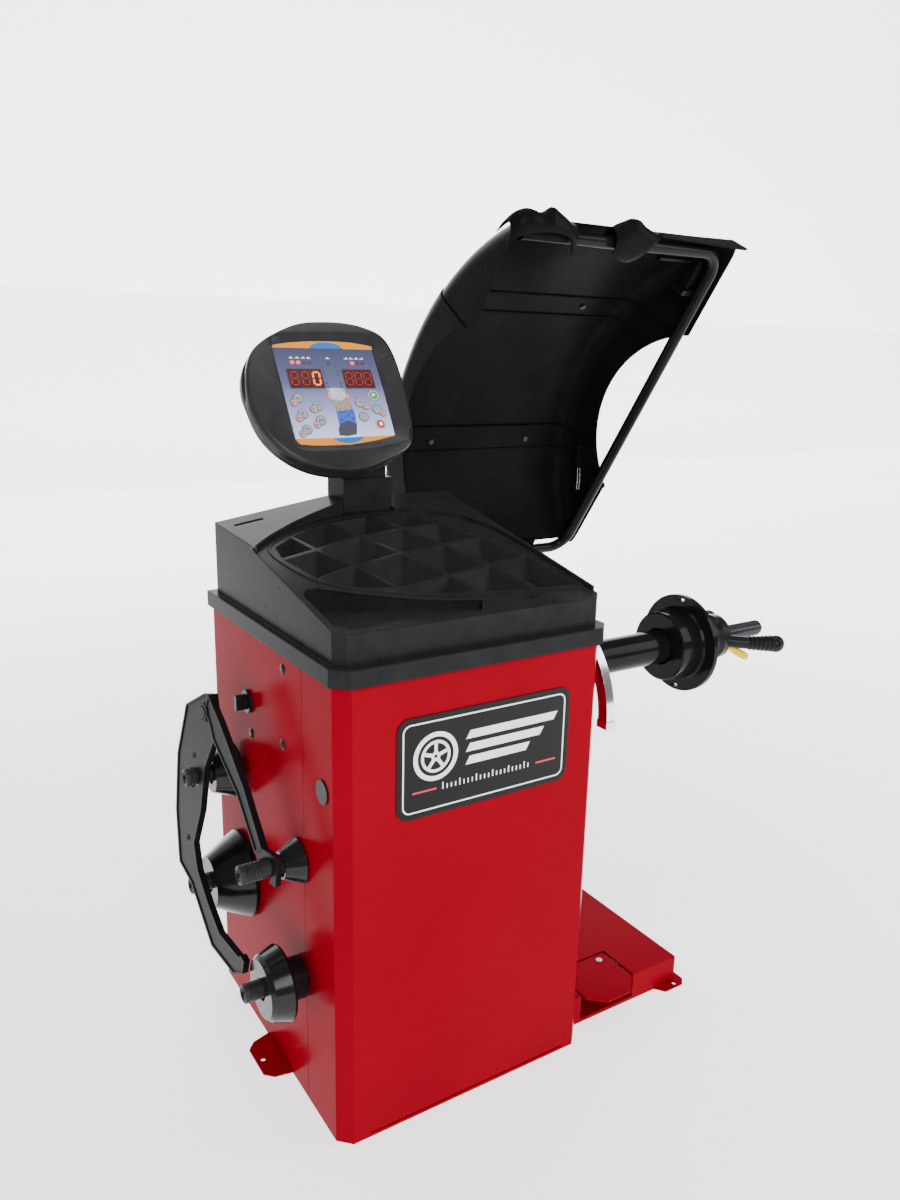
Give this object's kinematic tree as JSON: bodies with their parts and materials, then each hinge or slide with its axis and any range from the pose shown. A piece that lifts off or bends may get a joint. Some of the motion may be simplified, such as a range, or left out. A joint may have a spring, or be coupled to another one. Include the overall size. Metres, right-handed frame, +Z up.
{
  "type": "wheel balancer machine",
  "caption": "Wheel balancer: cabinet with weight tray and tilted display, threaded spindle with quick nut, distance gauge, brake pedal, raised wheel guard, storage pegs with cones and caliper.",
  "frame": {"origin": "on the floor under the middle of the cabinet", "axes": "+X along the spindle towards its free end, -Y out of the label face, +Z up"},
  "size_m": [1.3487, 0.877, 1.5287],
  "materials": {
    "red_paint": "gloss powder coat",
    "black_tray_plastic": "fine satin grain",
    "black_hood_plastic": "satin",
    "black_paint": "gloss",
    "black_plastic": "satin",
    "label": "printed film",
    "key_film": "printed film",
    "red_lens": "tinted lens",
    "key_grey": "printed film",
    "green_key": "printed film",
    "red_key": "printed film",
    "board_green": "solder mask",
    "bright_steel": "turned",
    "chrome": "polished",
    "cast": "as cast",
    "yellow_plastic": "satin",
    "grey_steel": "primer",
    "rubber": "matt"
  },
  "bodies": {
    "cabinet": {"base_pan": "red_paint", "front_cover": "red_paint", "left_side_panel": "red_paint", "right_side_panel": "red_paint", "rear_panel": "red_paint", "left_anchor_tab": "red_paint", "label_plate": "label", "cover_screws_and_plug": "black_plastic", "power_switch_body": "black_plastic", "mains_inlet": "black_plastic", "power_board": "board_green", "platform": "red_paint", "right_anchor_tab": "red_paint", "pedal_bearings": "grey_steel", "pedestal": "grey_steel", "spindle_cradle": "cast", "force_sensors": "grey_steel", "spindle_housing": "black_paint", "spindle_bearings": "bright_steel", "encoder_sensor": "grey_steel", "motor_housing": "grey_steel", "drive_belt": "rubber", "gauge_guide": "black_plastic", "weight_tray": "black_tray_plastic", "display_post": "black_tray_plastic", "display_bezel": "black_tray_plastic", "display_rear_shell": "black_tray_plastic", "key_panel": "key_film", "readouts": "red_lens", "function_keys": "key_grey", "display_board": "board_green", "hood_hinge_bracket": "black_paint", "storage_pegs": "black_paint", "peg_sleeves": "rubber"},
    "spindle": {"spindle_shaft": "bright_steel", "wheel_flange": "black_paint", "spindle_pulley": "cast", "encoder_disc": "bright_steel"},
    "pressure_cup": {"pressure_cup": "black_plastic"},
    "quick_nut": {"quick_nut": "black_plastic"},
    "release_lever": {"release_lever": "yellow_plastic"},
    "motor_rotor": {"motor_pulley": "cast"},
    "gauge_rod": {"gauge_rod": "bright_steel"},
    "gauge_arm": {"gauge_arm": "chrome"},
    "hood": {"hood_frame": "black_paint", "hood_lower_panel": "black_hood_plastic", "hood_middle_panel": "black_hood_plastic", "hood_upper_panel": "black_hood_plastic"},
    "pedal": {"brake_pedal": "red_paint", "pedal_shaft": "bright_steel"},
    "brake_rod": {"brake_rod": "bright_steel"},
    "power_switch_knob": {"power_switch_knob": "black_plastic"},
    "start_key": {"start_key": "green_key"},
    "stop_key": {"stop_key": "red_key"},
    "small_cone": {"small_cone": "black_paint"},
    "medium_cone": {"medium_cone": "black_paint"},
    "large_cone": {"large_cone": "black_paint"},
    "truck_cone": {"truck_cone": "black_paint"},
    "caliper_body": {"caliper_body": "black_plastic"},
    "caliper_arm": {"caliper_arm": "black_plastic"}
  },
  "joints": [
    {"name": "spindle_spin", "type": "hinge", "parent": "cabinet", "child": "spindle", "pos_m": [0.3, 0, 0.661], "axis": [1, 0, 0], "continuous": true},
    {"name": "motor_spin", "type": "hinge", "parent": "cabinet", "child": "motor_rotor", "pos_m": [-0.05, 0.15, 0.47], "axis": [1, 0, 0], "continuous": true},
    {"name": "pressure_cup_slide", "type": "slide", "parent": "spindle", "child": "pressure_cup", "axis": [1, 0, 0], "range_m": [-0.034, 0.14]},
    {"name": "nut_turn", "type": "hinge", "parent": "pressure_cup", "child": "quick_nut", "pos_m": [0.82, 0, 0.661], "axis": [1, 0, 0], "continuous": true},
    {"name": "release_lever_press", "type": "hinge", "parent": "quick_nut", "child": "release_lever", "pos_m": [0.836, -0.042, 0.644], "axis": [0, 0.375, -0.927], "range_deg": [0, 8], "stiffness_Nm_per_rad": 1, "springref_deg": -5.73},
    {"name": "gauge_slide", "type": "slide", "parent": "cabinet", "child": "gauge_rod", "axis": [1, 0, 0], "range_m": [0, 0.28]},
    {"name": "gauge_swing", "type": "hinge", "parent": "gauge_rod", "child": "gauge_arm", "pos_m": [0.277, -0.203, 0.784], "axis": [1, 0, 0], "range_deg": [0, 60]},
    {"name": "hood_swing", "type": "hinge", "parent": "cabinet", "child": "hood", "pos_m": [0.4, 0.573, 0.769], "axis": [1, 0, 0], "range_deg": [0, 43]},
    {"name": "pedal_press", "type": "hinge", "parent": "cabinet", "child": "pedal", "pos_m": [0.35, -0.155, 0.046], "axis": [1, 0, 0], "range_deg": [0, 10], "stiffness_Nm_per_rad": 12, "springref_deg": -17.19},
    {"name": "brake_rod_lift", "type": "slide", "parent": "cabinet", "child": "brake_rod", "axis": [0, 0, 1], "range_m": [0, 0.01222]},
    {"name": "power_switch_turn", "type": "hinge", "parent": "cabinet", "child": "power_switch_knob", "pos_m": [-0.27, 0.096, 0.667], "axis": [-1, 0, 0], "range_deg": [0, 90]},
    {"name": "start_key_press", "type": "slide", "parent": "cabinet", "child": "start_key", "axis": [0, 0.8387, -0.5446], "range_m": [0, 0.0006], "stiffness_N_per_m": 1500, "springref_m": -0.0003},
    {"name": "stop_key_press", "type": "slide", "parent": "cabinet", "child": "stop_key", "axis": [0, 0.8387, -0.5446], "range_m": [0, 0.0006], "stiffness_N_per_m": 1500, "springref_m": -0.0003},
    {"name": "small_cone_slide", "type": "slide", "parent": "cabinet", "child": "small_cone", "axis": [-1, 0, 0], "range_m": [0, 0.002]},
    {"name": "medium_cone_slide", "type": "slide", "parent": "cabinet", "child": "medium_cone", "axis": [-1, 0, 0], "range_m": [0, 0.012]},
    {"name": "truck_cone_slide", "type": "slide", "parent": "cabinet", "child": "truck_cone", "axis": [-1, 0, 0], "range_m": [0, 0.02]},
    {"name": "large_cone_slide", "type": "slide", "parent": "cabinet", "child": "large_cone", "axis": [-1, 0, 0], "range_m": [0, 0.006]},
    {"name": "caliper_lift_off", "type": "slide", "parent": "cabinet", "child": "caliper_body", "axis": [-1, 0, 0], "range_m": [0, 0.08]},
    {"name": "caliper_open", "type": "hinge", "parent": "caliper_body", "child": "caliper_arm", "pos_m": [-0.32388, 0.11, 0.655], "axis": [-0.9774, -0.1789, 0.1129], "range_deg": [0, 25]}
  ],
  "couplings": [
    {"joint": "motor_spin", "follows": "spindle_spin", "ratio": 3.3333},
    {"joint": "brake_rod_lift", "follows": "pedal_press", "m_per_rad": 0.07}
  ]
}
